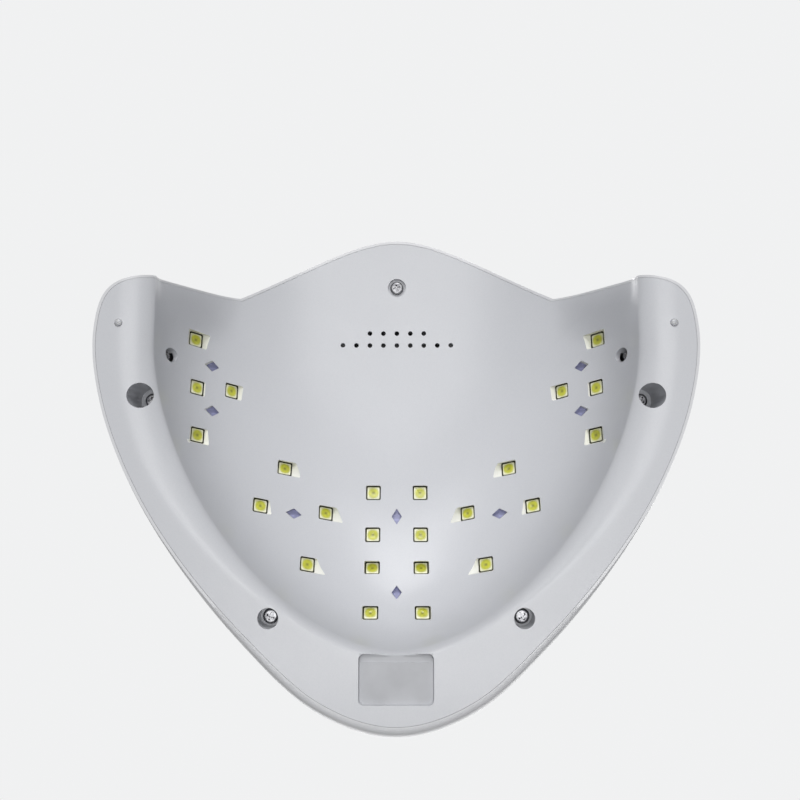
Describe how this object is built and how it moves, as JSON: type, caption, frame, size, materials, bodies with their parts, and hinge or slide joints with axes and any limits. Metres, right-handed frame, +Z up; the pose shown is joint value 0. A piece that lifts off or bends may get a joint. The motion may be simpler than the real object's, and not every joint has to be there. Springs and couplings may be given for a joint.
{
  "type": "led nail lamp",
  "caption": "Domed tabletop nail lamp with an open-fronted reflector bowl of square LEDs, a fan, vents and push buttons on top.",
  "frame": {"origin": "bottom centre of the bounding box, on the surface that the lamp stands on", "axes": "+X to the right seen from the open front, -Y out of the open front, +Y to the rear tip, +Z up"},
  "size_m": [0.2304, 0.2021, 0.1],
  "materials": {
    "shell": "pearl white glossy moulded plastic",
    "reflector": "pale silver-grey satin reflective paint on moulded plastic",
    "panel": "smoked glossy lens",
    "keys": "white satin key caps",
    "black_plastic": "black moulded plastic",
    "circuit_board": "green solder mask on fibreglass board",
    "led_board": "lilac-grey coated aluminium board",
    "phosphor": "yellow-green phosphor under clear silicone in a white package",
    "steel": "zinc-plated steel",
    "smoked_lens": "smoked epoxy lens",
    "nub": "translucent silicone",
    "wire": "red and black insulated wire bundle"
  },
  "bodies": {
    "housing": {"outer_shell": "shell", "inner_shell": "reflector", "control_panel": "panel", "tact_switch_10s": "black_plastic", "tact_switch_30s": "black_plastic", "tact_switch_60s": "black_plastic", "tact_switch_99s": "black_plastic", "main_board": "circuit_board", "display_module": "black_plastic", "led_board_right": "led_board", "led_right_1": "phosphor", "led_right_2": "phosphor", "led_right_3": "phosphor", "led_right_4": "phosphor", "led_board_left": "led_board", "led_left_1": "phosphor", "led_left_2": "phosphor", "led_left_3": "phosphor", "led_left_4": "phosphor", "led_board_mid_right": "led_board", "led_mid_right_1": "phosphor", "led_mid_right_2": "phosphor", "led_mid_right_3": "phosphor", "led_mid_right_4": "phosphor", "led_board_mid_left": "led_board", "led_mid_left_1": "phosphor", "led_mid_left_2": "phosphor", "led_mid_left_3": "phosphor", "led_mid_left_4": "phosphor", "led_board_centre_front": "led_board", "led_centre_front_1": "phosphor", "led_centre_front_2": "phosphor", "led_centre_front_3": "phosphor", "led_centre_front_4": "phosphor", "led_board_centre_rear": "led_board", "led_centre_rear_1": "phosphor", "led_centre_rear_2": "phosphor", "led_centre_rear_3": "phosphor", "led_centre_rear_4": "phosphor", "ir_emitter": "smoked_lens", "ir_receiver": "smoked_lens", "fan_frame": "black_plastic", "dc_socket": "black_plastic", "case_screw_side_right": "steel", "case_screw_side_left": "steel", "case_screw_rear_right": "steel", "case_screw_rear_left": "steel", "case_screw_front": "steel", "foot_nub_right": "nub", "foot_nub_left": "nub", "wiring_loom": "wire"},
    "button_10s_body": {"button_10s": "keys", "switch_plunger_10s": "keys"},
    "button_30s_body": {"button_30s": "keys", "switch_plunger_30s": "keys"},
    "button_60s_body": {"button_60s": "keys", "switch_plunger_60s": "keys"},
    "button_99s_body": {"button_99s": "keys", "switch_plunger_99s": "keys"},
    "fan_rotor_body": {"fan_rotor": "black_plastic"}
  },
  "joints": [
    {"name": "button_10s_press", "type": "slide", "parent": "housing", "child": "button_10s_body", "axis": [0, 0.1827, -0.9832], "range_m": [0, 0.0005], "stiffness_N_per_m": 1500},
    {"name": "button_30s_press", "type": "slide", "parent": "housing", "child": "button_30s_body", "axis": [0, 0.1827, -0.9832], "range_m": [0, 0.0005], "stiffness_N_per_m": 1500},
    {"name": "button_60s_press", "type": "slide", "parent": "housing", "child": "button_60s_body", "axis": [0, 0.1827, -0.9832], "range_m": [0, 0.0005], "stiffness_N_per_m": 1500},
    {"name": "button_99s_press", "type": "slide", "parent": "housing", "child": "button_99s_body", "axis": [0, 0.1827, -0.9832], "range_m": [0, 0.0005], "stiffness_N_per_m": 1500},
    {"name": "fan_spin", "type": "hinge", "parent": "housing", "child": "fan_rotor_body", "pos_m": [0, -0.0497, 0.0737], "axis": [0, 0, 1], "continuous": true}
  ]
}
